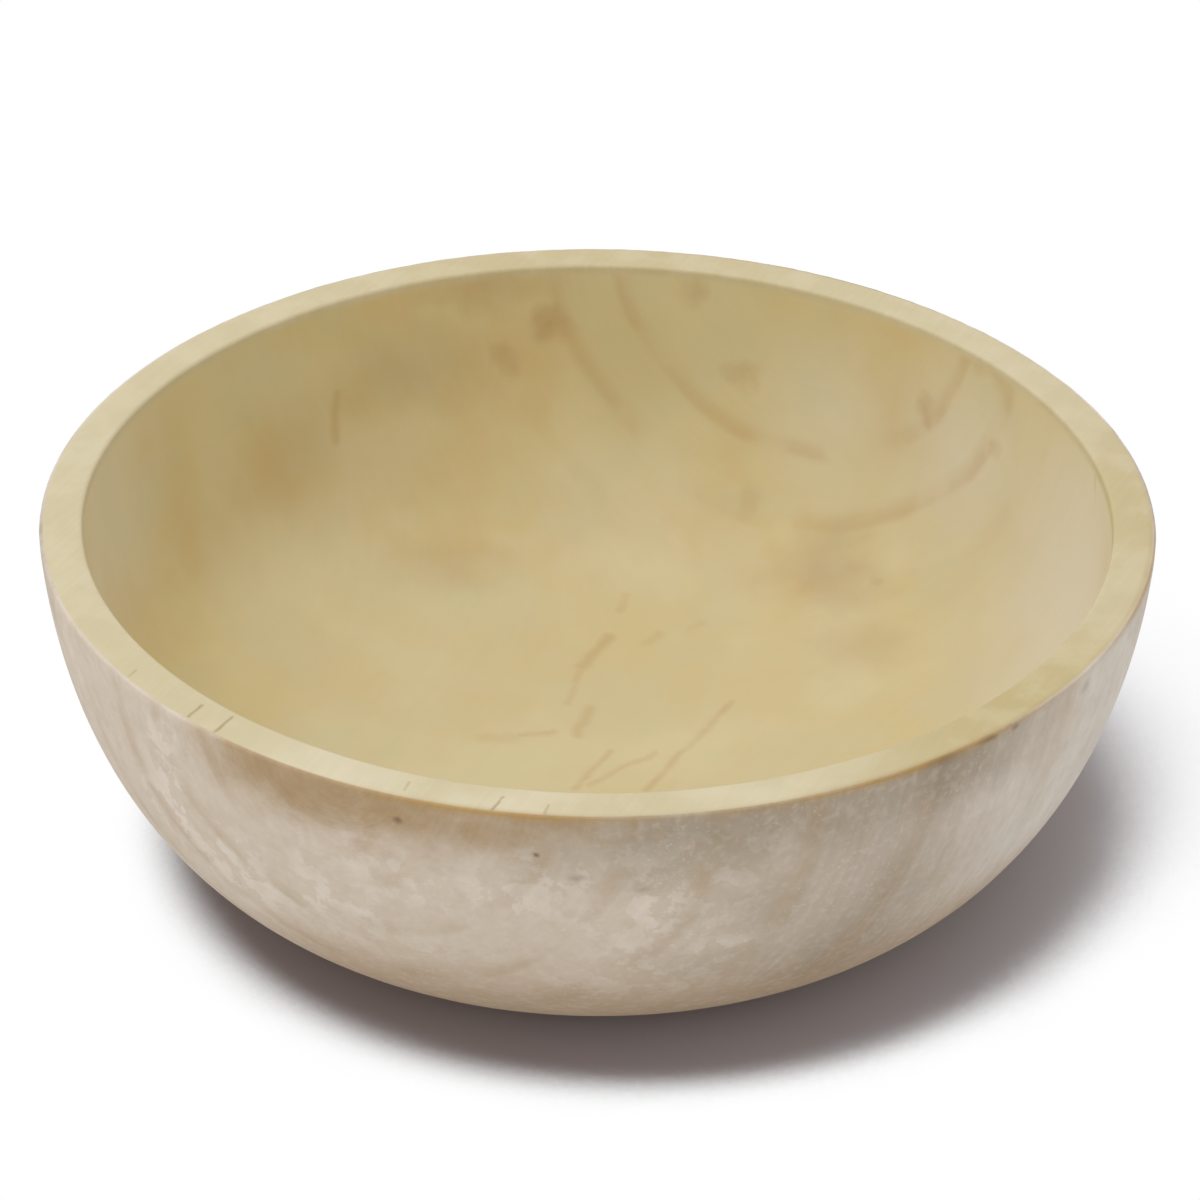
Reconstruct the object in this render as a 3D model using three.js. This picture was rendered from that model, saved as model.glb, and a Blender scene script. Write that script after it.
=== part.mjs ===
// A wooden bowl carved in one piece from a block: a hollow, a flat rim and a flat foot.
// Millimetres, +Z up, with the origin at the middle of the foot. The front of the bowl faces -Y.
import * as THREE from "three";

// The outside
const rimDiameter = 300; // across the rim's outer edge
const height = 100; // foot to rim
const footDiameter = 154; // across the flat foot
const footFlare = 4.4; // degrees by which the wall rises above level where it leaves the foot
const footReach = 47; // how far the wall holds that direction before it turns up
const rimLean = 2.8; // degrees by which the wall leans out where it meets the rim
const rimReach = 45; // how far the wall holds that direction below the rim

// The hollow
const rimWidth = 11.8; // the rim's flat top
const floorThickness = 13; // wood left under the middle of the hollow
const hollowLean = 4; // degrees by which the hollow's wall leans out at the rim
const hollowReach = 76; // how far the hollow's wall holds that direction below the rim
const floorReach = 106; // how far the hollow's floor runs level before it turns up

// Edges, each measured back from the sharp corner that it rounds off
const footRound = 4;
const outerEdge = 1;
const innerEdge = 1.4;

// Fineness of the surface
const turns = 80; // steps around the bowl
const wallSteps = 16; // steps up a wall
const edgeSteps = 4; // steps round an edge

const point = (x, z) => new THREE.Vector2(x, z);
const radians = (degrees) => THREE.MathUtils.degToRad(degrees);
const heading = (degrees) => point(Math.cos(radians(degrees)), Math.sin(radians(degrees)));
const along = (start, direction, distance) => start.clone().addScaledVector(direction, distance);

const rimRadius = rimDiameter / 2;
const footRadius = footDiameter / 2;

// The sharp corners of the half section
const footCorner = point(footRadius, 0);
const outerCorner = point(rimRadius, height);
const innerCorner = point(rimRadius - rimWidth, height);
const hollowMiddle = point(0, floorThickness);

// The directions in which the walls leave those corners
const level = heading(0);
const upFromFoot = heading(footFlare);
const downFromRim = heading(-90 - rimLean);
const downHollow = heading(-90 - hollowLean);

// Where each rounded edge starts and ends
const footEnd = along(footCorner, level, -footRound);
const wallStart = along(footCorner, upFromFoot, footRound);
const wallEnd = along(outerCorner, downFromRim, outerEdge);
const rimStart = along(outerCorner, level, -outerEdge);
const rimEnd = along(innerCorner, level, innerEdge);
const hollowStart = along(innerCorner, downHollow, innerEdge);

const outerWall = new THREE.CubicBezierCurve(
  wallStart,
  along(wallStart, upFromFoot, footReach),
  along(wallEnd, downFromRim, rimReach),
  wallEnd,
);
const hollow = new THREE.CubicBezierCurve(
  hollowStart,
  along(hollowStart, downHollow, hollowReach),
  along(hollowMiddle, level, floorReach),
  hollowMiddle,
);

// The half section runs from the middle of the foot, up and over the rim, to the middle of the hollow
const stretches = [
  { curve: new THREE.LineCurve(point(0, 0), footEnd), steps: 1 },
  { curve: new THREE.QuadraticBezierCurve(footEnd, footCorner, wallStart), steps: edgeSteps },
  { curve: outerWall, steps: wallSteps },
  { curve: new THREE.QuadraticBezierCurve(wallEnd, outerCorner, rimStart), steps: edgeSteps },
  { curve: new THREE.LineCurve(rimStart, rimEnd), steps: 1 },
  { curve: new THREE.QuadraticBezierCurve(rimEnd, innerCorner, hollowStart), steps: edgeSteps },
  { curve: hollow, steps: wallSteps },
];
const furtherPoints = ({ curve, steps }) => curve.getPoints(steps).slice(1);
const section = [point(0, 0), ...stretches.flatMap(furtherPoints)];

// The section is turned about +Z
const bowlShape = new THREE.LatheGeometry(section, turns);
bowlShape.rotateX(Math.PI / 2);

const paleWood = new THREE.MeshStandardMaterial({ color: 0xc9b997, roughness: 0.62, metalness: 0 });

const bowl = new THREE.Mesh(bowlShape, paleWood);
bowl.name = "bowl";

const carvedBowl = new THREE.Group();
carvedBowl.name = "carved_bowl";
carvedBowl.add(bowl);

export default carvedBowl;
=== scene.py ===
"""A wooden bowl carved in one piece from pale wood: its surface, its finish and the studio around it.

Metres, +Z up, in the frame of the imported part. The front of the bowl faces -Y. Sizes of the bowl are
written in millimetres and turned to metres where a mesh or a pattern needs them.
"""
import logging
import math
from dataclasses import dataclass, field
from enum import Enum
from typing import Any

import bpy
from mathutils import Matrix, Vector


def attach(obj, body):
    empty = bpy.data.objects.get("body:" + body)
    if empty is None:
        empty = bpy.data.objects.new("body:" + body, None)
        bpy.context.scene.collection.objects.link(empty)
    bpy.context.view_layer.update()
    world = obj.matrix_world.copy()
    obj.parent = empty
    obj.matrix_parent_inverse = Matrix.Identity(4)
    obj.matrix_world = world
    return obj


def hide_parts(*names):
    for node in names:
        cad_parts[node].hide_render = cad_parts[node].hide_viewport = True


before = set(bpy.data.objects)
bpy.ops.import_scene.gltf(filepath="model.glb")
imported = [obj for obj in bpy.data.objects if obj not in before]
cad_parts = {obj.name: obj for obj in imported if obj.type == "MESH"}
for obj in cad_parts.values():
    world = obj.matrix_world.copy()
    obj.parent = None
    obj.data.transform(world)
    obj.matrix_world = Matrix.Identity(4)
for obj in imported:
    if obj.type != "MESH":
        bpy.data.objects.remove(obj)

LOG = logging.getLogger("carved_bowl")

MM = 0.001
FULL_TURN = 2.0 * math.pi
UP = Vector((0.0, 0.0, 1.0))
OUTWARD = Vector((1.0, 0.0, 0.0))

OILED = "oiled"
WORN = "worn"

# Kinds of node that come up again and again
MATH = "ShaderNodeMath"
VECTOR_MATH = "ShaderNodeVectorMath"
MAP_RANGE = "ShaderNodeMapRange"
NOISE = "ShaderNodeTexNoise"
MIX = "ShaderNodeMix"

# Setting of a Map Range node that eases in and out, and inputs of a Mix node that mixes colours
SMOOTH = {"interpolation_type": "SMOOTHSTEP"}
MIX_BELOW = 6
MIX_ABOVE = 7

# Types of a tree, of a node in it, and of what can be linked to an input
Tree = bpy.types.NodeTree
Node = bpy.types.Node
Source = bpy.types.Node | bpy.types.NodeSocket


class Side(Enum):
    """How a stretch of the surface was finished, as the value that its points carry."""

    BARE = 0.0
    OILED = 1.0


def linear(colour: str) -> tuple[float, float, float, float]:
    """Turn an sRGB hex colour into the linear colour that a shader works in.

    Args:
        colour: Six hex digits after a hash sign.

    Returns:
        Red, green, blue and a full alpha.
    """
    channels = [int(colour[start:start + 2], 16) / 255.0 for start in (1, 3, 5)]
    bent = [c / 12.92 if c <= 0.04045 else ((c + 0.055) / 1.055) ** 2.4 for c in channels]
    return (*bent, 1.0)


def per_metre(millimetres: float) -> float:
    """Give the texture scale whose features are about as large as the length given."""
    return 1.0 / (millimetres * MM)


def add_node(tree: Tree, kind: str, inputs: dict[Any, Any] | None = None, **settings: Any) -> Node:
    """Add one node to a tree, with its settings made and its inputs filled or linked.

    Args:
        tree: The tree that the node joins.
        kind: Blender's identifier of the node.
        inputs: What fills each input, by the input's name or number: a value, an output socket, or a
            node, which stands for the first of its outputs in use.
        **settings: Properties of the node itself.

    Returns:
        The new node.
    """
    node = tree.nodes.new(kind)
    for name, value in settings.items():
        setattr(node, name, value)
    for key, value in (inputs or {}).items():
        if isinstance(value, bpy.types.Node):
            value = next(output for output in value.outputs if output.enabled)
        if isinstance(value, bpy.types.NodeSocket):
            tree.links.new(value, node.inputs[key])
        else:
            node.inputs[key].default_value = value
    return node


def empty_tree(owner: bpy.types.Material | bpy.types.World) -> Tree:
    """Give a material or a world a node tree of its own, with no node in it yet."""
    owner.use_nodes = True
    owner.node_tree.nodes.clear()
    return owner.node_tree


def seen_rays(tree: Tree) -> Node:
    """Tell rays that show a surface, straight, in a mirror or through glass, from rays that light others.

    Args:
        tree: The tree that asks.

    Returns:
        1 for a ray that shows the surface, else 0.
    """
    path = add_node(tree, "ShaderNodeLightPath").outputs
    direct = add_node(tree, MATH,
                      {0: path["Is Camera Ray"], 1: path["Is Glossy Ray"]}, operation="MAXIMUM")
    return add_node(tree, MATH, {0: direct, 1: path["Is Transmission Ray"]}, operation="MAXIMUM")


@dataclass(frozen=True)
class Section:
    """The bowl's half section, in millimetres, the same as the solid's but just inside its facets."""

    rim_diameter: float = 299.8
    height: float = 100.0
    foot_diameter: float = 154.0
    foot_flare: float = 4.4
    foot_reach: float = 47.0
    rim_lean: float = 2.8
    rim_reach: float = 45.0
    rim_width: float = 11.8
    floor_thickness: float = 13.0
    hollow_lean: float = 4.0
    hollow_reach: float = 76.0
    floor_reach: float = 106.0
    foot_round: float = 4.0
    outer_edge: float = 1.0
    inner_edge: float = 1.4

    @staticmethod
    def heading(degrees: float) -> Vector:
        """Give the unit direction at an angle above level, in the plane of the section."""
        angle = math.radians(degrees)
        return OUTWARD * math.cos(angle) + UP * math.sin(angle)

    def points(self) -> dict[str, Vector]:
        """Work out the named points that the section's curves pass through or lean on.

        Returns:
            Each point in metres, by name.
        """
        foot_corner = OUTWARD * (self.foot_diameter / 2)
        outer_corner = OUTWARD * (self.rim_diameter / 2) + UP * self.height
        inner_corner = outer_corner - OUTWARD * self.rim_width
        up_wall = self.heading(self.foot_flare)
        down_wall = self.heading(-90 - self.rim_lean)
        down_hollow = self.heading(-90 - self.hollow_lean)
        wall_start = foot_corner + up_wall * self.foot_round
        wall_end = outer_corner + down_wall * self.outer_edge
        hollow_start = inner_corner + down_hollow * self.inner_edge
        hollow_middle = UP * self.floor_thickness
        places = {
            "Foot Middle": Vector((0.0, 0.0, 0.0)),
            "Foot End": foot_corner - OUTWARD * self.foot_round,
            "Foot Corner": foot_corner,
            "Wall Start": wall_start,
            "Wall Low Handle": wall_start + up_wall * self.foot_reach,
            "Wall High Handle": wall_end + down_wall * self.rim_reach,
            "Wall End": wall_end,
            "Outer Corner": outer_corner,
            "Rim Start": outer_corner - OUTWARD * self.outer_edge,
            "Rim End": inner_corner + OUTWARD * self.inner_edge,
            "Inner Corner": inner_corner,
            "Hollow Start": hollow_start,
            "Hollow High Handle": hollow_start + down_hollow * self.hollow_reach,
            "Hollow Low Handle": hollow_middle + OUTWARD * self.floor_reach,
            "Hollow Middle": hollow_middle,
        }
        return {name: place * MM for name, place in places.items()}


@dataclass(frozen=True)
class Stretch:
    """One stretch of the section: its points, its steps along, its finish and how much wear it takes."""

    points: tuple[str, ...]
    steps: int
    side: Side
    wear: float = 0.0


STRETCHES = (
    Stretch(("Foot Middle", "Foot End"), 14, Side.BARE),
    Stretch(("Foot End", "Foot Corner", "Wall Start"), 5, Side.BARE),
    Stretch(("Wall Start", "Wall Low Handle", "Wall High Handle", "Wall End"), 60, Side.BARE),
    Stretch(("Wall End", "Outer Corner", "Rim Start"), 5, Side.BARE, 1.0),
    Stretch(("Rim Start", "Rim End"), 6, Side.OILED),
    Stretch(("Rim End", "Inner Corner", "Hollow Start"), 5, Side.OILED),
    Stretch(("Hollow Start", "Hollow High Handle", "Hollow Low Handle", "Hollow Middle"), 72, Side.OILED),
)


@dataclass(frozen=True)
class Patch:
    """A soft egg-shaped patch in the wood: its middle and its half lengths in millimetres."""

    middle: tuple[float, float, float]
    half: tuple[float, float, float]
    strength: float


@dataclass(frozen=True)
class Stroke:
    """A thin line in the wood, from one end to the other in the bowl's frame, in millimetres."""

    start: tuple[float, float, float]
    end: tuple[float, float, float]
    half_width: float
    strength: float


# Soft tan patches in the hollow, where the oil has drawn in deeper
TAN_PATCHES = (
    Patch((-93.0, 90.0, 54.0), (50.0, 46.0, 28.0), 0.36),
    Patch((-112.0, 72.0, 46.0), (32.0, 50.0, 28.0), 0.22),
    Patch((-68.0, 112.0, 68.0), (26.0, 20.0, 24.0), 0.3),
    Patch((-57.0, 122.0, 72.0), (46.0, 30.0, 22.0), 0.42),
    Patch((-35.0, 133.0, 95.0), (44.0, 16.0, 14.0), 0.5),
    Patch((-14.0, 135.0, 81.0), (10.0, 9.0, 10.0), 0.85),
    Patch((-29.0, 132.0, 73.0), (10.0, 9.0, 7.0), 0.6),
    Patch((-44.0, 92.0, 26.0), (38.0, 22.0, 12.0), 0.35),
    Patch((43.0, 127.0, 70.0), (8.0, 7.0, 6.0), 0.55),
    Patch((28.0, 135.0, 93.0), (9.0, 6.0, 9.0), 0.45),
    Patch((114.0, 78.0, 97.0), (12.0, 12.0, 7.0), 0.5),
    Patch((95.0, 96.0, 75.0), (4.0, 4.0, 6.0), 0.5),
    Patch((114.0, 73.0, 76.0), (4.0, 4.0, 4.0), 0.4),
    Patch((136.0, 19.0, 94.0), (2.0, 3.0, 4.0), 0.4),
    Patch((43.0, 109.0, 36.0), (8.0, 7.0, 5.0), 0.35),
    Patch((67.0, 82.0, 28.0), (34.0, 26.0, 14.0), 0.6),
    Patch((82.0, 73.0, 30.0), (5.0, 5.0, 4.0), 0.6),
    Patch((76.0, 52.0, 22.0), (30.0, 22.0, 10.0), 0.35),
    Patch((-62.0, 104.0, 44.0), (44.0, 30.0, 26.0), 0.25),
    Patch((4.0, 104.0, 30.0), (46.0, 24.0, 16.0), 0.2),
)

# Stretches of the rim that are yellower than the rest
RIM_HONEY = (
    Patch((100.0, -95.0, 100.0), (75.0, 75.0, 30.0), 1.0),
    Patch((146.0, 0.0, 100.0), (40.0, 90.0, 30.0), 0.7),
    Patch((0.0, 146.0, 100.0), (130.0, 50.0, 30.0), 0.45),
)

# Where the rim's outer edge has yellowed
OCHRE_EDGES = (
    Patch((76.0, -122.0, 100.0), (96.0, 60.0, 30.0), 1.0),
    Patch((140.0, -36.0, 100.0), (40.0, 70.0, 30.0), 0.8),
    Patch((-26.0, -147.0, 100.0), (64.0, 30.0, 30.0), 0.9),
    Patch((0.0, 146.0, 100.0), (130.0, 50.0, 30.0), 0.3),
)

# Stretches of the rim that are paler
RIM_PALE = (
    Patch((-64.0, -129.0, 100.0), (34.0, 26.0, 30.0), 0.9),
    Patch((-20.0, -143.0, 100.0), (30.0, 14.0, 30.0), 0.8),
    Patch((38.0, -139.0, 100.0), (26.0, 12.0, 30.0), 0.7),
)

# Painted sheen: pale grey veils, a painted reflection, high on the hollow's wall at the left, the right and
# the back right
PAINTED_SHEEN_VEILS = (
    Patch((-138.0, 8.0, 84.0), (42.0, 80.0, 60.0), 0.5),
    Patch((132.0, 8.0, 66.0), (66.0, 100.0, 72.0), 1.0),
    Patch((104.0, 78.0, 68.0), (46.0, 54.0, 42.0), 0.7),
    Patch((72.0, 112.0, 66.0), (44.0, 36.0, 34.0), 0.4),
)

# Darker bare wood at the front right, most of all just under the rim
FRONT_RIGHT_DARKENING = (
    Patch((30.0, -143.0, 98.0), (95.0, 60.0, 34.0), 1.0),
    Patch((88.0, -118.0, 96.0), (58.0, 54.0, 22.0), 0.9),
    Patch((40.0, -140.0, 67.0), (34.0, 30.0, 28.0), 0.5),
    Patch((80.0, -117.0, 56.0), (36.0, 36.0, 30.0), 0.4),
    Patch((62.0, -120.0, 41.0), (44.0, 36.0, 30.0), 0.5),
    Patch((28.0, -136.0, 46.0), (34.0, 24.0, 18.0), 0.35),
)

# Brown stain under the rim at the front, beside the heart of the log
STAIN_LOBES = (
    Patch((-12.0, -147.0, 99.0), (34.0, 20.0, 14.0), 0.8),
    Patch((-26.0, -146.0, 94.0), (34.0, 20.0, 15.0), 0.8),
    Patch((-56.0, -137.0, 84.0), (34.0, 24.0, 14.0), 0.45),
)

# Thin tan strokes along the grain on the hollow's floor, and one up the wall at the back left
FLOOR_STROKES = (
    Stroke((14.0, -10.0, 13.0), (39.0, 33.0, 15.0), 2.4, 0.7),
    Stroke((-6.0, -10.0, 13.0), (4.0, 9.0, 13.0), 2.0, 0.6),
    Stroke((-2.0, -8.0, 13.0), (16.0, 8.0, 13.0), 2.2, 0.5),
    Stroke((3.0, 64.0, 16.0), (-4.0, 51.0, 14.0), 3.6, 0.75),
    Stroke((-4.0, 51.0, 14.0), (-8.0, 33.0, 14.0), 2.4, 0.6),
    Stroke((-2.0, 30.0, 13.0), (-5.0, 16.0, 13.0), 3.0, 0.6),
    Stroke((-22.0, 16.0, 13.0), (-12.0, 18.0, 13.0), 2.4, 0.55),
    Stroke((-31.0, 14.0, 13.0), (-24.0, 14.0, 13.0), 4.5, 0.4),
    Stroke((8.0, 82.0, 19.0), (7.0, 77.0, 18.0), 2.8, 0.5),
    Stroke((14.0, 62.0, 16.0), (18.0, 66.0, 16.0), 2.6, 0.45),
    Stroke((28.0, 67.0, 17.0), (31.0, 70.0, 17.0), 2.6, 0.35),
    Stroke((-77.0, 110.0, 71.0), (-78.0, 105.0, 58.0), 2.4, 0.7),
)

# Fine brown hairlines along the grain, across the rim at the front left
RIM_HAIRLINES = (
    Stroke((-101.0, -107.0, 100.0), (-98.0, -102.0, 100.0), 0.8, 0.65),
    Stroke((-94.0, -114.0, 100.0), (-90.0, -107.0, 100.0), 0.8, 0.65),
    Stroke((-25.0, -147.0, 100.0), (-22.0, -141.0, 100.0), 0.7, 0.65),
    Stroke((-46.0, -138.0, 100.0), (-45.0, -135.0, 100.0), 0.7, 0.35),
    Stroke((-12.0, -148.0, 100.0), (-11.0, -144.0, 100.0), 0.7, 0.4),
    Stroke((-118.0, -90.0, 100.0), (-116.0, -86.0, 100.0), 0.7, 0.35),
)

# Dark pin knots on the bare outside
PIN_KNOTS = (
    Patch((-48.0, -142.0, 93.0), (2.2, 2.2, 1.8), 1.0),
    Patch((-14.0, -148.0, 88.0), (1.3, 1.3, 1.2), 0.8),
    Patch((-59.0, -138.0, 95.0), (1.2, 1.2, 1.0), 0.7),
    Patch((-4.0, -148.0, 81.0), (4.0, 3.0, 1.8), 0.35),
    Patch((12.0, -147.0, 77.0), (3.0, 3.0, 1.5), 0.25),
    Patch((86.0, -123.0, 99.0), (9.0, 9.0, 3.0), 0.35),
    Patch((125.0, -83.0, 95.0), (4.0, 4.0, 3.0), 0.35),
    Patch((98.0, -113.5, 99.0), (5.0, 5.0, 1.2), 0.6),
    Patch((105.0, -107.0, 98.6), (2.5, 2.5, 1.4), 0.7),
)


@dataclass(frozen=True)
class Clouds:
    """Soft clouds in the wood.

    The width is in millimetres. The clouds go from none to full between the noise levels low and high.
    Detail counts the finer noises that break their edges up, and roughness is how much each of them adds.
    """

    width: float
    low: float
    high: float
    detail: float = 3.0
    roughness: float = 0.5


@dataclass(frozen=True)
class Wander:
    """How the edges of a mark wander: the width of a wander and its largest shift, in millimetres."""

    width: float
    reach: float


@dataclass(frozen=True)
class Tint:
    """A colour laid over the wood: the patterns that it lies in, how strongly it covers, and its hue."""

    where: list[Source]
    strength: float
    colour: str


@dataclass(frozen=True)
class PaleWood:
    """A pale, wide-ringed wood, carved and sanded: oiled in the hollow and on the rim, bare outside.

    Oil turns the wood a warm cream with soft clouds, and brings up the growth rings as soft tan lines.
    The bare outside has bleached to a greyer, pinker beige. It is blotched and flecked, brown where the
    heart of the log comes out under the rim, and finely lined along the rings. Lengths are in millimetres.
    """

    # Oiled wood
    cream: str = "#D1C294"
    honey: str = "#CCB47C"
    olive: str = "#C8BD92"
    floor_cream: str = "#DCD1AC"
    rim_cream: str = "#C6B995"
    rim_pale: str = "#DBD1B4"
    rim_honey: str = "#B8A36B"
    # Painted sheen on the hollow's wall
    sheen_cream: str = "#DED5C2"
    tan: str = "#A9804B"
    ring_tan: str = "#B58A52"
    hair_brown: str = "#8A6534"
    edge_ochre: str = "#AE8A48"

    # Bare wood
    pink_beige: str = "#D3C5B4"
    bleached: str = "#E8E0D6"
    grey_beige: str = "#B9ADA0"
    # Paler wood far from the pith; at the right side it also gives a painted pale edge light
    pale_grey: str = "#D8D2C9"
    # Painted shade, low on the bare outside
    painted_shade_beige: str = "#B49C80"
    # Darker beige at the front right, most of all just under the rim
    darkening_beige: str = "#8F8069"
    heart_brown: str = "#A88B63"
    knot_brown: str = "#5A4630"

    # The log: its pith runs level above the bowl, turned by some degrees from X, with the rings about it
    grain_turn: float = 64.0
    pith_aside: float = -1.0
    pith_height: float = 108.0
    grain_stretch: float = 0.4
    ring_width: float = 17.8
    ring_start: float = 6.1
    ring_bend: float = 7.0
    ring_bend_width: float = 40.0
    ring_line: tuple[float, float] = (0.56, 0.86)
    ring_gaps: Clouds = Clouds(24.0, 0.36, 0.62)

    # Fine lines of growth, and the share by which they lighten and darken each surface
    line_width: float = 1.0
    line_length: float = 26.0
    line_depth: float = 0.1
    bump_strength: float = 0.15
    line_levels: tuple[float, float] = (0.3, 0.7)
    hollow_swing: float = 0.01
    rim_swing: float = 0.022
    bare_swing: float = 0.018
    grained_swing: float = 0.06

    # Clouds in the oiled and in the bare wood
    honey_clouds: Clouds = Clouds(48.0, 0.36, 0.64)
    olive_clouds: Clouds = Clouds(30.0, 0.46, 0.66)
    rim_clouds: Clouds = Clouds(12.0, 0.42, 0.66)
    blotch_areas: Clouds = Clouds(46.0, 0.4, 0.6)
    blotches: Clouds = Clouds(9.0, 0.49, 0.53, 8.0, 0.6)
    brown_mottle: Clouds = Clouds(6.0, 0.42, 0.68, 5.0)
    pale_mottle: Clouds = Clouds(2.4, 0.45, 0.7, 4.0)
    fleck_areas: Clouds = Clouds(20.0, 0.45, 0.65)
    flecks: Clouds = Clouds(1.1, 0.62, 0.72, 1.0)

    # The brown stain's ragged edge
    tatter_width: float = 7.0
    tatter_reach: float = 0.8
    stain_levels: tuple[float, float] = (0.45, 1.5)

    # How the edges of the marks wander
    tan_wander: Wander = Wander(14.0, 9.0)
    stroke_wander: Wander = Wander(12.0, 2.2)
    hair_wander: Wander = Wander(4.0, 0.6)
    # Edges of the painted sheen
    sheen_wander: Wander = Wander(14.0, 6.0)
    rim_wander: Wander = Wander(10.0, 8.0)
    ochre_wander: Wander = Wander(9.0, 9.0)
    stain_wander: Wander = Wander(10.0, 4.0)
    darkening_wander: Wander = Wander(16.0, 8.0)
    knot_wander: Wander = Wander(3.0, 0.6)

    # The finish: the values of the stored side between which oil begins and is full, and the gloss
    oil_edge: tuple[float, float] = (0.4, 0.7)
    oiled_roughness: float = 0.5
    bare_roughness: float = 0.8
    ior: float = 1.5

    def build(self) -> bpy.types.Material:
        """Build the wood's node material on Object coordinates.

        Returns:
            The finished material.
        """
        material = bpy.data.materials.new("pale wood, carved, sanded and oiled inside")
        tree = empty_tree(material)
        place = add_node(tree, "ShaderNodeTexCoord").outputs["Object"]
        apart = add_node(tree, "ShaderNodeSeparateXYZ", {0: place}).outputs
        grain = add_node(tree, "ShaderNodeVectorRotate",
                         {"Vector": place, "Angle": -math.radians(self.grain_turn)},
                         rotation_type="Z_AXIS")
        across = add_node(tree, VECTOR_MATH,
                          {0: grain, 1: (0.0, 1.0, 1.0),
                           2: (0.0, -self.pith_aside * MM, -self.pith_height * MM)},
                          operation="MULTIPLY_ADD")
        radius = add_node(tree, VECTOR_MATH, {0: across}, operation="LENGTH")
        # What each stretch of the wood is measured by, where it begins and where it is full
        fades = {
            "rim": (apart["Z"], 96.0, 99.0),
            "hollow": (apart["Z"], 99.0, 96.0),
            "floor": (apart["Z"], 30.0, 16.0),
            "raised": (apart["Z"], 16.0, 30.0),
            # low and lit place the painted shade low on the outside, which stays off the lit left side
            "low": (apart["Z"], 56.0, 24.0),
            "under_rim": (apart["Z"], 72.0, 97.0),
            "lit": (apart["X"], -50.0, -120.0),
            "heart": (radius, 64.0, 18.0),
            "ringed": (radius, 46.0, 56.0),
            "ring_end": (radius, 96.0, 84.0),
            "open": (radius, 126.0, 98.0),
            "sap": (radius, 98.0, 126.0),
            "inner": (radius, 150.0, 128.0),
            "outer": (radius, 128.0, 150.0),
        }
        where: dict[str, Source] = {}
        for name, (value, start, end) in fades.items():
            where[name] = add_node(tree, MAP_RANGE,
                                   {"Value": value, "From Min": start * MM, "From Max": end * MM},
                                   **SMOOTH)
        where["rings"] = self._rings(tree, grain, radius)
        where["worn"] = add_node(tree, "ShaderNodeAttribute", attribute_name=WORN).outputs["Fac"]
        where["ochre"] = self._patches(tree, self._wander(tree, place, self.ochre_wander), OCHRE_EDGES)
        lines = self._fine_lines(tree, grain, across, radius)
        soaked = add_node(tree, "ShaderNodeAttribute", attribute_name=OILED).outputs["Fac"]
        begins, full = self.oil_edge
        side = add_node(tree, MAP_RANGE, {"Value": soaked, "From Min": begins, "From Max": full}, **SMOOTH)
        oiled = self._oiled_colour(tree, place, where, lines)
        bare = self._bare_colour(tree, place, where, lines)
        colour = add_node(tree, MIX, {"Factor": side, MIX_BELOW: bare, MIX_ABOVE: oiled}, data_type="RGBA")
        roughness = add_node(tree, MAP_RANGE,
                             {"Value": side, "To Min": self.bare_roughness,
                              "To Max": self.oiled_roughness})
        bump = add_node(tree, "ShaderNodeBump",
                        {"Strength": self.bump_strength, "Distance": self.line_depth * MM,
                         "Height": lines})
        shader = add_node(tree, "ShaderNodeBsdfPrincipled",
                          {"Base Color": colour, "Roughness": roughness, "IOR": self.ior, "Normal": bump})
        add_node(tree, "ShaderNodeOutputMaterial", {"Surface": shader})
        return material

    def _rings(self, tree: Tree, grain: Source, radius: Source) -> Node:
        """Draw the growth rings: tubes about the pith, each ending in a soft dark line that comes and goes.

        Args:
            tree: The material's tree.
            grain: Place on the bowl with X along the grain.
            radius: Distance from the pith.

        Returns:
            Strength of the dark line of a ring, 0 to 1.
        """
        stretched = add_node(tree, "ShaderNodeMapping",
                             {"Vector": grain, "Scale": (self.grain_stretch, 1.0, 1.0)})
        bend = add_node(tree, NOISE,
                        {"Vector": stretched, "Scale": per_metre(self.ring_bend_width), "Detail": 3.0})
        bent = add_node(tree, MATH, {0: bend, 1: self.ring_bend * MM, 2: radius}, operation="MULTIPLY_ADD")
        start = self.ring_start + self.ring_bend / 2
        phase = add_node(tree, MATH,
                         {0: bent, 1: per_metre(self.ring_width), 2: -start / self.ring_width},
                         operation="MULTIPLY_ADD")
        along = add_node(tree, MATH, {0: phase}, operation="FRACT")
        begins, darkest = self.ring_line
        late = add_node(tree, MAP_RANGE,
                        {"Value": along, "From Min": begins, "From Max": darkest}, **SMOOTH)
        stop = add_node(tree, MAP_RANGE, {"Value": along, "From Min": 1.0, "From Max": darkest}, **SMOOTH)
        line = add_node(tree, MATH, {0: late, 1: stop}, operation="MULTIPLY")
        gaps = self._clouds(tree, stretched, self.ring_gaps)
        return add_node(tree, MATH, {0: line, 1: gaps}, operation="MULTIPLY")

    def _fine_lines(self, tree: Tree, grain: Source, across: Source, radius: Source) -> Node:
        """Draw the fine lines of growth: long along the grain and round the pith, thin away from it.

        Args:
            tree: The material's tree.
            grain: Place on the bowl with X along the grain.
            across: Place seen from the pith, square to the grain.
            radius: Distance from the pith.

        Returns:
            Height of the lines, about 0.5 on the whole.
        """
        slow = self.line_width / self.line_length
        along = add_node(tree, "ShaderNodeSeparateXYZ", {0: grain}).outputs["X"]
        apart = add_node(tree, "ShaderNodeSeparateXYZ", {0: across}).outputs
        turn = add_node(tree, MATH, {0: apart["Z"], 1: apart["Y"]}, operation="ARCTAN2")
        round_pith = add_node(tree, MATH, {0: turn, 1: slow * self.pith_height * MM}, operation="MULTIPLY")
        along_slow = add_node(tree, MATH, {0: along, 1: slow}, operation="MULTIPLY")
        bent = add_node(tree, "ShaderNodeCombineXYZ", {"X": radius, "Y": round_pith, "Z": along_slow})
        return add_node(tree, NOISE,
                        {"Vector": bent, "Scale": per_metre(self.line_width), "Detail": 3.0,
                         "Roughness": 0.6})

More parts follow.
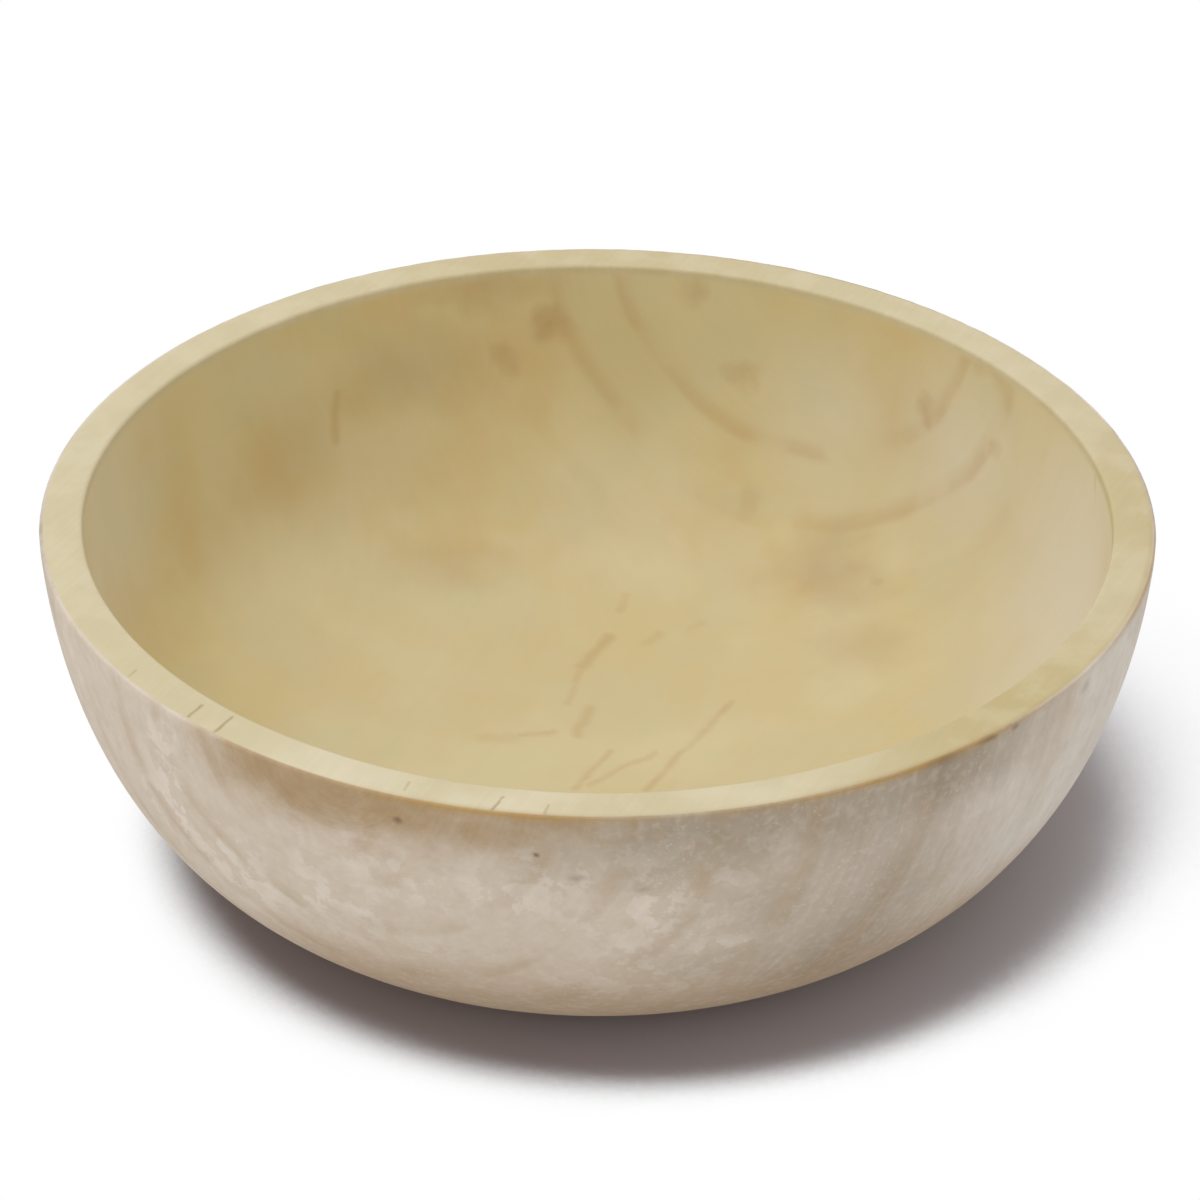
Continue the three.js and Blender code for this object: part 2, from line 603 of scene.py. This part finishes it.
    @staticmethod
    def _clouds(tree: Tree, place: Source, clouds: Clouds) -> Node:
        """Draw clouds in the wood.

        Args:
            tree: The material's tree.
            place: Place on the bowl.
            clouds: The clouds to draw.

        Returns:
            Strength of the clouds, 0 to 1.
        """
        noise = add_node(tree, NOISE,
                         {"Vector": place, "Scale": per_metre(clouds.width), "Detail": clouds.detail,
                          "Roughness": clouds.roughness})
        return add_node(tree, MAP_RANGE,
                        {"Value": noise, "From Min": clouds.low, "From Max": clouds.high}, **SMOOTH)

    @staticmethod
    def _wander(tree: Tree, place: Source, wander: Wander) -> Node:
        """Shift places about by a noise, so that drawn marks get wandering edges.

        Args:
            tree: The material's tree.
            place: Place on the bowl.
            wander: How wide and how far to shift.

        Returns:
            The shifted place.
        """
        noise = add_node(tree, NOISE,
                         {"Vector": place, "Scale": per_metre(wander.width),
                          "Detail": 3.0}).outputs["Color"]
        swing = add_node(tree, VECTOR_MATH, {0: noise, 1: (0.5, 0.5, 0.5)}, operation="SUBTRACT")
        return add_node(tree, VECTOR_MATH,
                        {0: swing, 1: (2 * wander.reach * MM,) * 3, 2: place}, operation="MULTIPLY_ADD")

    @staticmethod
    def _patches(tree: Tree, place: Source, patches: tuple[Patch, ...]) -> Node:
        """Draw a set of patches, each fading out from its middle.

        Args:
            tree: The material's tree.
            place: Place on the bowl.
            patches: The patches to draw.

        Returns:
            Strength of the strongest patch at each place, 0 to 1.
        """
        total: Any = 0.0
        for patch in patches:
            scale = [1.0 / (half * MM) for half in patch.half]
            shift = [-middle / half for middle, half in zip(patch.middle, patch.half)]
            inside = add_node(tree, VECTOR_MATH, {0: place, 1: scale, 2: shift}, operation="MULTIPLY_ADD")
            away = add_node(tree, VECTOR_MATH, {0: inside}, operation="LENGTH")
            spot = add_node(tree, MAP_RANGE,
                            {"Value": away, "To Min": patch.strength, "To Max": 0.0}, **SMOOTH)
            total = add_node(tree, MATH, {0: total, 1: spot}, operation="MAXIMUM")
        return total

    @staticmethod
    def _strokes(tree: Tree, place: Source, strokes: tuple[Stroke, ...]) -> Node:
        """Draw a set of strokes, each fading out sideways from its line.

        Args:
            tree: The material's tree.
            place: Place on the bowl.
            strokes: The strokes to draw.

        Returns:
            Strength of the strongest stroke at each place, 0 to 1.
        """
        total: Any = 0.0
        for stroke in strokes:
            start = Vector(stroke.start) * MM
            run = Vector(stroke.end) * MM - start
            from_start = add_node(tree, VECTOR_MATH, {0: place, 1: start}, operation="SUBTRACT")
            share = add_node(tree, VECTOR_MATH,
                             {0: from_start, 1: run / run.length_squared}, operation="DOT_PRODUCT")
            held = add_node(tree, "ShaderNodeClamp", {"Value": share})
            near = add_node(tree, VECTOR_MATH, {0: run, "Scale": held}, operation="SCALE")
            away = add_node(tree, VECTOR_MATH, {0: from_start, 1: near}, operation="DISTANCE")
            line = add_node(tree, MAP_RANGE,
                            {"Value": away, "From Max": stroke.half_width * MM,
                             "To Min": stroke.strength, "To Max": 0.0}, **SMOOTH)
            total = add_node(tree, MATH, {0: total, 1: line}, operation="MAXIMUM")
        return total

    def _tinted(self, tree: Tree, ground: str, tints: tuple[Tint, ...], lines: Source,
                swing: Source) -> Node:
        """Lay tints over a ground colour one by one, then let the fine lines lighten and darken it.

        Args:
            tree: The material's tree.
            ground: The colour under all the tints.
            tints: The tints, the lowest first.
            lines: Height of the fine lines.
            swing: Share by which the lines change the colour either way.

        Returns:
            The tinted colour.
        """
        wood: Any = linear(ground)
        for tint in tints:
            share: Any = tint.strength
            for pattern in tint.where:
                share = add_node(tree, MATH, {0: pattern, 1: share}, operation="MULTIPLY")
            wood = add_node(tree, MIX,
                            {"Factor": share, MIX_BELOW: wood, MIX_ABOVE: linear(tint.colour)},
                            data_type="RGBA")
        low, high = self.line_levels
        either_way = add_node(tree, MAP_RANGE,
                              {"Value": lines, "From Min": low, "From Max": high, "To Min": -1.0})
        streak = add_node(tree, MATH, {0: either_way, 1: swing, 2: 1.0}, operation="MULTIPLY_ADD")
        return add_node(tree, VECTOR_MATH, {0: wood, "Scale": streak}, operation="SCALE")

    def _oiled_colour(self, tree: Tree, place: Source, where: dict[str, Source], lines: Source) -> Node:
        """Colour the oiled wood: cream with soft clouds, tan patches, ring lines and strokes.

        Args:
            tree: The material's tree.
            place: Place on the bowl.
            where: Strength of the rings and of each stretch of the wood, by name.
            lines: Height of the fine lines.

        Returns:
            The oiled wood's colour.
        """
        rim = where["rim"]
        wall_rings = [where["rings"], where["hollow"], where["raised"], where["ringed"], where["ring_end"]]
        # Painted sheen: pale grey veils high on the hollow's wall
        painted_sheen = self._patches(tree, self._wander(tree, place, self.sheen_wander), PAINTED_SHEEN_VEILS)
        patches = self._patches(tree, self._wander(tree, place, self.tan_wander), TAN_PATCHES)
        strokes = self._strokes(tree, self._wander(tree, place, self.stroke_wander), FLOOR_STROKES)
        hairs = self._strokes(tree, self._wander(tree, place, self.hair_wander), RIM_HAIRLINES)
        paled = self._patches(tree, self._wander(tree, place, self.rim_wander), RIM_PALE)
        yellowed = self._patches(tree, place, RIM_HONEY)
        tints = (
            Tint([self._clouds(tree, place, self.honey_clouds)], 0.8, self.honey),
            Tint([self._clouds(tree, place, self.olive_clouds)], 0.5, self.olive),
            Tint([where["floor"]], 0.25, self.floor_cream),
            Tint([painted_sheen], 0.9, self.sheen_cream),
            Tint([patches], 0.65, self.tan),
            Tint(wall_rings, 0.3, self.ring_tan),
            Tint([strokes], 0.5, self.ring_tan),
            Tint([rim], 0.85, self.rim_cream),
            Tint([yellowed, rim], 0.8, self.rim_honey),
            Tint([paled, rim], 0.6, self.rim_pale),
            Tint([self._clouds(tree, place, self.rim_clouds), rim], 0.22, self.rim_pale),
            Tint([where["worn"], where["ochre"]], 0.9, self.edge_ochre),
            Tint([hairs], 0.9, self.hair_brown),
        )
        swing = add_node(tree, MAP_RANGE,
                         {"Value": rim, "To Min": self.hollow_swing, "To Max": self.rim_swing})
        return self._tinted(tree, self.cream, tints, lines, swing)

    def _bare_colour(self, tree: Tree, place: Source, where: dict[str, Source], lines: Source) -> Node:
        """Colour the bare wood: bleached beige, blotched and flecked, browner at the heart, with painted
        shade low down.

        Args:
            tree: The material's tree.
            place: Place on the bowl.
            where: Strength of the rings and of each stretch of the wood, by name.
            lines: Height of the fine lines.

        Returns:
            The bare wood's colour.
        """
        stained = self._stain(tree, place, where)
        grained = add_node(tree, MATH, {0: where["sap"], 1: stained}, operation="MAXIMUM")
        # Painted shade: darker and warmer low on the outside, except on the lit left side
        painted_low_shade = add_node(tree, MATH,
                         {0: where["low"], 1: where["lit"]}, operation="SUBTRACT", use_clamp=True)
        blotched = [self._clouds(tree, place, self.blotch_areas), self._clouds(tree, place, self.blotches)]
        flecked = [self._clouds(tree, place, self.fleck_areas), self._clouds(tree, place, self.flecks)]
        # Darker at the front right, most of all just under the rim
        darkened = self._patches(tree, self._wander(tree, place, self.darkening_wander), FRONT_RIGHT_DARKENING)
        knots = self._patches(tree, self._wander(tree, place, self.knot_wander), PIN_KNOTS)
        tints = (
            Tint([where["sap"], where["inner"]], 0.85, self.grey_beige),
            # Paler wood far from the pith, partly a painted pale edge light at the right side
            Tint([where["outer"]], 0.8, self.pale_grey),
            Tint([*blotched, where["open"]], 0.5, self.bleached),
            Tint([painted_low_shade], 0.8, self.painted_shade_beige),
            Tint([darkened], 0.75, self.darkening_beige),
            Tint([self._clouds(tree, place, self.brown_mottle)], 0.12, self.heart_brown),
            Tint([self._clouds(tree, place, self.pale_mottle)], 0.14, self.bleached),
            Tint([where["rings"]], 0.3, self.heart_brown),
            Tint(flecked, 0.2, self.bleached),
            Tint([stained], 0.9, self.heart_brown),
            Tint([where["worn"], where["ochre"]], 0.9, self.edge_ochre),
            Tint([knots], 0.9, self.knot_brown),
        )
        swing = add_node(tree, MAP_RANGE,
                         {"Value": grained, "To Min": self.bare_swing, "To Max": self.grained_swing})
        return self._tinted(tree, self.pink_beige, tints, lines, swing)

    def _stain(self, tree: Tree, place: Source, where: dict[str, Source]) -> Node:
        """Draw the brown stain under the rim, where the heart of the log comes out, with a ragged edge.

        Args:
            tree: The material's tree.
            place: Place on the bowl.
            where: Strength of each stretch of the wood, by name.

        Returns:
            Strength of the stain, 0 to 1.
        """
        heart = add_node(tree, MATH, {0: where["heart"], 1: where["under_rim"]}, operation="MULTIPLY")
        lobes = self._patches(tree, self._wander(tree, place, self.stain_wander), STAIN_LOBES)
        browned = add_node(tree, MATH, {0: heart, 1: lobes}, operation="MAXIMUM")
        tatters = add_node(tree, NOISE,
                           {"Vector": place, "Scale": per_metre(self.tatter_width), "Detail": 6.0,
                            "Roughness": 0.65})
        tattered = add_node(tree, MATH,
                            {0: tatters, 1: self.tatter_reach, 2: browned}, operation="MULTIPLY_ADD")
        begins, full = self.stain_levels
        return add_node(tree, MAP_RANGE,
                        {"Value": tattered, "From Min": begins, "From Max": full}, **SMOOTH)


@dataclass
class Bowl:
    """The bowl: its section turned about the upright axis, with the slight waves that carving leaves.

    Depths and widths are in millimetres. The rim's wave grows with a power of the height, and the dips
    begin at the foot and have their full depth from a share of the height upward.
    """

    section: Section = field(default_factory=Section)
    finish: PaleWood = field(default_factory=PaleWood)
    turns: int = 400
    curve_steps: int = 240
    rim_wave: float = 0.8
    waves_around: float = 4.0
    wave_power: float = 2.0
    carving_depth: float = 0.3
    carving_width: float = 38.0
    carving_full: float = 0.1
    chip_depth: float = 0.35
    chip_width: float = 4.0
    seam_width: float = 0.002

    CURVES = {
        2: ("GeometryNodeCurvePrimitiveLine", ("Start", "End")),
        3: ("GeometryNodeCurveQuadraticBezier", ("Start", "Middle", "End")),
        4: ("GeometryNodeCurvePrimitiveBezierSegment", ("Start", "Start Handle", "End Handle", "End")),
    }

    def build(self) -> bpy.types.Object:
        """Build the bowl as a plain mesh object at the origin.

        Returns:
            The finished bowl.
        """
        material = self.finish.build()
        values: dict[str, Any] = {
            **self.section.points(),
            "Height": self.section.height * MM,
            "Turns": self.turns,
            "Rim Wave": self.rim_wave * MM,
            "Waves Around": self.waves_around,
            "Carving Depth": self.carving_depth * MM,
            "Carving Width": self.carving_width * MM,
            "Chip Depth": self.chip_depth * MM,
            "Chip Width": self.chip_width * MM,
            "Wood": material,
        }
        tree = self._turning(values)
        blank = bpy.data.objects.new("turning blank", bpy.data.meshes.new("turning blank"))
        bpy.context.scene.collection.objects.link(blank)
        modifier = blank.modifiers.new("turning", "NODES")
        modifier.node_group = tree
        for item in tree.interface.items_tree:
            if item.name in values:
                modifier[item.identifier] = values[item.name]
        seen = blank.evaluated_get(bpy.context.evaluated_depsgraph_get())
        mesh = bpy.data.meshes.new_from_object(seen)
        bpy.data.objects.remove(blank)
        mesh.name = "carved bowl"
        bowl = bpy.data.objects.new("carved_bowl", mesh)
        bpy.context.scene.collection.objects.link(bowl)
        return bowl

    def _turning(self, values: dict[str, Any]) -> Tree:
        """Build the node tree that turns the section and works the surface.

        Args:
            values: What each named input will hold, which sets its kind of socket.

        Returns:
            The tree.
        """
        kinds = {Vector: "NodeSocketVector", float: "NodeSocketFloat", int: "NodeSocketInt",
                 bpy.types.Material: "NodeSocketMaterial"}
        tree = bpy.data.node_groups.new("turned section", "GeometryNodeTree")
        for name, value in values.items():
            tree.interface.new_socket(name, in_out="INPUT", socket_type=kinds[type(value)])
        tree.interface.new_socket("Geometry", in_out="OUTPUT", socket_type="NodeSocketGeometry")
        sizes = add_node(tree, "NodeGroupInput").outputs
        joined = add_node(tree, "GeometryNodeJoinGeometry")
        for stretch in STRETCHES:
            tree.links.new(self._turn(tree, sizes, stretch).outputs[0], joined.inputs[0])
        closed = add_node(tree, "GeometryNodeMergeByDistance",
                          {"Geometry": joined, "Distance": self.seam_width * MM})
        worked = self._work(tree, sizes, closed)
        smooth = add_node(tree, "GeometryNodeSetShadeSmooth", {"Geometry": worked})
        real = add_node(tree, "GeometryNodeRealizeInstances", {"Geometry": smooth})
        dressed = add_node(tree, "GeometryNodeSetMaterial", {"Geometry": real, "Material": sizes["Wood"]})
        add_node(tree, "NodeGroupOutput", {"Geometry": dressed})
        return tree

    def _turn(self, tree: Tree, sizes: bpy.types.NodeOutputs, stretch: Stretch) -> Node:
        """Turn one stretch of the section about the upright axis.

        Args:
            tree: The bowl's tree.
            sizes: The tree's named inputs.
            stretch: The stretch to turn.

        Returns:
            The turned surface, with its finish and wear stored on its points.
        """
        kind, ends = self.CURVES[len(stretch.points)]
        corners = {end: sizes[name] for end, name in zip(ends, stretch.points)}
        curve = add_node(tree, kind, corners)
        if "Resolution" in curve.inputs:
            curve.inputs["Resolution"].default_value = self.curve_steps
        around = add_node(tree, MATH, {0: sizes["Turns"], 1: 1.0}, operation="ADD")
        grid = add_node(tree, "GeometryNodeMeshGrid",
                        {"Vertices X": around, "Vertices Y": stretch.steps + 1})
        share = add_node(tree, "ShaderNodeSeparateXYZ", {0: grid.outputs["UV Map"]}).outputs
        angle = add_node(tree, MATH, {0: share["X"], 1: FULL_TURN}, operation="MULTIPLY")
        sample = add_node(tree, "GeometryNodeSampleCurve",
                          {"Curves": curve, "Factor": share["Y"]}, mode="FACTOR").outputs["Position"]
        turned = add_node(tree, "ShaderNodeVectorRotate",
                          {"Vector": sample, "Angle": angle}, rotation_type="Z_AXIS")
        surface = add_node(tree, "GeometryNodeSetPosition",
                           {"Geometry": grid.outputs["Mesh"], "Position": turned})
        for name, value in ((OILED, stretch.side.value), (WORN, stretch.wear)):
            surface = add_node(tree, "GeometryNodeStoreNamedAttribute",
                               {"Geometry": surface, "Name": name, "Value": value},
                               data_type="FLOAT", domain="POINT")
        return surface

    def _work(self, tree: Tree, sizes: bpy.types.NodeOutputs, surface: Source) -> Node:
        """Take wood off the true round, as carving does: rim waves, shallow dips and a chipped edge.

        Args:
            tree: The bowl's tree.
            sizes: The tree's named inputs.
            surface: The closed, true round surface.

        Returns:
            The worked surface, nowhere outside the true round.
        """
        place = add_node(tree, "GeometryNodeInputPosition")
        apart = add_node(tree, "ShaderNodeSeparateXYZ", {0: place}).outputs
        level = add_node(tree, MATH, {0: apart["Z"], 1: sizes["Height"]}, operation="DIVIDE")
        lift = add_node(tree, MATH, {0: level, 1: self.wave_power}, operation="POWER")
        angle = add_node(tree, MATH, {0: apart["Y"], 1: apart["X"]}, operation="ARCTAN2")
        turns = add_node(tree, MATH, {0: angle, 1: sizes["Waves Around"]}, operation="MULTIPLY")
        swing = add_node(tree, MATH, {0: turns}, operation="COSINE")
        drawn_in = add_node(tree, MAP_RANGE,
                            {"Value": swing, "From Min": -1.0, "From Max": 1.0,
                             "To Min": -1.0, "To Max": 0.0})
        share = add_node(tree, MATH, {0: drawn_in, 1: lift}, operation="MULTIPLY")
        inward = add_node(tree, MATH, {0: share, 1: sizes["Rim Wave"]}, operation="MULTIPLY")
        spoke = add_node(tree, VECTOR_MATH, {0: place, 1: (1.0, 1.0, 0.0)}, operation="MULTIPLY")
        ray = add_node(tree, VECTOR_MATH, {0: spoke}, operation="NORMALIZE")
        wave = add_node(tree, VECTOR_MATH, {0: ray, "Scale": inward}, operation="SCALE")
        surface = add_node(tree, "GeometryNodeSetPosition", {"Geometry": surface, "Offset": wave})
        normal = add_node(tree, "GeometryNodeInputNormal")
        worn = add_node(tree, "GeometryNodeInputNamedAttribute", {"Name": WORN}, data_type="FLOAT")
        clear = add_node(tree, MAP_RANGE, {"Value": level, "From Max": self.carving_full}, **SMOOTH)
        for mark, where in {"Carving": clear, "Chip": worn}.items():
            scale = add_node(tree, MATH, {0: 1.0, 1: sizes[f"{mark} Width"]}, operation="DIVIDE")
            noise = add_node(tree, NOISE, {"Vector": place, "Scale": scale})
            reach = add_node(tree, MATH, {0: noise, 1: sizes[f"{mark} Depth"]}, operation="MULTIPLY")
            dip = add_node(tree, MATH, {0: reach, 1: where}, operation="MULTIPLY")
            taken = add_node(tree, MATH, {0: dip, 1: -1.0}, operation="MULTIPLY")
            offset = add_node(tree, VECTOR_MATH, {0: normal, "Scale": taken}, operation="SCALE")
            surface = add_node(tree, "GeometryNodeSetPosition", {"Geometry": surface, "Offset": offset})
        return surface


@dataclass(frozen=True)
class PaleFloor:
    """A matt white studio sweep that shows white wherever enough sky is open, and keeps the bowl's shadow.

    The shadow lies compact about the foot. To the right, away from the light, it reaches further, and is
    paler, greyer and softer. The shares are of the sky that is open over a place: up to the first the
    camera sees the shade alone, and from the second it sees white. Lengths are in metres.
    """

    paper: str = "#EDEBE8"
    near_shade: str = "#908381"
    far_shade: str = "#CDCCD0"
    near_shares: tuple[float, float] = (0.25, 0.479)
    far_shares: tuple[float, float] = (0.62, 0.84)
    near_place: float = -0.16
    far_place: float = 0.2
    far_turn: float = 20.0
    white: str = "#FFFFFF"
    shadow_reach: float = 0.2
    sky_samples: int = 48
    roughness: float = 0.9

    def build(self) -> bpy.types.Material:
        """Build the floor's node material.

        Returns:
            The finished material.
        """
        material = bpy.data.materials.new("white paper, matt")
        tree = empty_tree(material)
        place = add_node(tree, "ShaderNodeTexCoord").outputs["Object"]
        turn = math.radians(self.far_turn)
        across = add_node(tree, VECTOR_MATH,
                          {0: place, 1: (math.cos(turn), math.sin(turn), 0.0)}, operation="DOT_PRODUCT")
        way = add_node(tree, MAP_RANGE,
                       {"Value": across, "From Min": self.near_place, "From Max": self.far_place})
        away = add_node(tree, MATH, {0: way, 1: way}, operation="MULTIPLY")
        far_away = add_node(tree, MATH, {0: away, 1: way}, operation="MULTIPLY")
        shaded, lit = [add_node(tree, MAP_RANGE, {"Value": share, "To Min": near, "To Max": far})
                       for share, near, far in zip((way, far_away), self.near_shares, self.far_shares)]
        shade = add_node(tree, MIX,
                         {"Factor": away, MIX_BELOW: linear(self.near_shade),
                          MIX_ABOVE: linear(self.far_shade)},
                         data_type="RGBA")
        open_sky = add_node(tree, "ShaderNodeAmbientOcclusion",
                            {"Distance": self.shadow_reach}, samples=self.sky_samples).outputs["AO"]
        light = add_node(tree, MAP_RANGE,
                         {"Value": open_sky, "From Min": shaded, "From Max": lit}, **SMOOTH)
        seen = seen_rays(tree)
        colour = add_node(tree, MIX,
                          {"Factor": seen, MIX_BELOW: linear(self.paper), MIX_ABOVE: shade},
                          data_type="RGBA")
        matt = add_node(tree, "ShaderNodeBsdfDiffuse", {"Color": colour, "Roughness": self.roughness})
        white = add_node(tree, "ShaderNodeEmission", {"Color": linear(self.white), "Strength": 1.0})
        whiteness = add_node(tree, MATH, {0: light, 1: seen}, operation="MULTIPLY")
        shader = add_node(tree, "ShaderNodeMixShader", {0: whiteness, 1: matt, 2: white})
        add_node(tree, "ShaderNodeOutputMaterial", {"Surface": shader})
        return material


@dataclass(frozen=True)
class Softbox:
    """A round soft light that faces the bowl: its name, place, width in metres and power in watts."""

    name: str
    place: tuple[float, float, float]
    width: float
    power: float

    def build(self) -> None:
        """Hang the light in the scene."""
        lamp = bpy.data.lights.new(self.name, "AREA")
        lamp.shape = "DISK"
        lamp.size = self.width
        lamp.energy = self.power
        light = bpy.data.objects.new(self.name, lamp)
        place = Vector(self.place)
        aim = (-place).to_track_quat("-Z", "Y").to_matrix().to_4x4()
        light.matrix_world = Matrix.Translation(place) @ aim
        bpy.context.scene.collection.objects.link(light)


@dataclass
class Studio:
    """The room around the bowl: a pale floor, soft light from above and the camera of the photograph.

    Places are in metres, the camera's angles in degrees, its lens and its sensor in millimetres.
    """

    floor_size: float = 8.0
    left_light: float = 1.06
    right_light: float = 0.72
    lamps: tuple[Softbox, ...] = (
        Softbox("overhead softbox", (-0.26, 0.12, 1.3), 0.5, 3.2),
    )
    camera_place: tuple[float, float, float] = (0.0008, -0.9695, 0.6706)
    camera_pitch: float = 31.845
    camera_roll: float = 0.51
    lens: float = 125.2
    sensor: float = 36.0

    def build(self) -> None:
        """Build the floor, the light, the world and the camera."""
        bpy.context.scene.view_settings.view_transform = "Standard"
        self._floor()
        for lamp in self.lamps:
            lamp.build()
        self._world()
        self._camera()

    def _floor(self) -> None:
        """Lay the floor at the height of the bowl's foot."""
        half = self.floor_size / 2
        corners = [(-half, -half, 0.0), (half, -half, 0.0), (half, half, 0.0), (-half, half, 0.0)]
        mesh = bpy.data.meshes.new("studio floor")
        mesh.from_pydata(corners, [], [(0, 1, 2, 3)])
        mesh.materials.append(PaleFloor().build())
        floor = bpy.data.objects.new("studio_floor", mesh)
        bpy.context.scene.collection.objects.link(floor)

    def _world(self) -> None:
        """Fill the room with light, stronger from the left, and let the camera see white."""
        world = bpy.data.worlds.new("studio")
        tree = empty_tree(world)
        seen = seen_rays(tree)
        toward = add_node(tree, "ShaderNodeTexCoord").outputs["Generated"]
        across = add_node(tree, "ShaderNodeSeparateXYZ", {0: toward}).outputs["X"]
        dome = add_node(tree, MAP_RANGE,
                        {"Value": across, "From Min": -1.0, "From Max": 1.0,
                         "To Min": self.left_light, "To Max": self.right_light}, **SMOOTH)
        strength = add_node(tree, MIX, {"Factor": seen, 2: dome, 3: 1.0}, data_type="FLOAT")
        light = add_node(tree, "ShaderNodeBackground",
                         {"Color": (1.0, 1.0, 1.0, 1.0), "Strength": strength})
        add_node(tree, "ShaderNodeOutputWorld", {"Surface": light})
        bpy.context.scene.world = world

    def _camera(self) -> None:
        """Set the camera where the photograph's was."""
        data = bpy.data.cameras.new("camera")
        data.lens = self.lens
        data.sensor_width = self.sensor
        data.sensor_fit = "HORIZONTAL"
        camera = bpy.data.objects.new("camera", data)
        tilt = Matrix.Rotation(math.radians(90.0 - self.camera_pitch), 4, "X")
        roll = Matrix.Rotation(math.radians(self.camera_roll), 4, "Z")
        camera.matrix_world = Matrix.Translation(self.camera_place) @ tilt @ roll
        bpy.context.scene.collection.objects.link(camera)
        bpy.context.scene.camera = camera


def main() -> None:
    """Build the bowl and the studio, and report each piece."""
    logging.basicConfig(level=logging.INFO, format="%(name)s: %(message)s")
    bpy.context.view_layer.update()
    bowl = Bowl().build()
    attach(bowl, "root")
    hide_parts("bowl")
    LOG.info("bowl: %d faces", len(bowl.data.polygons))
    Studio().build()
    LOG.info("studio: floor, light and camera")


if __name__ == "__main__":
    main()
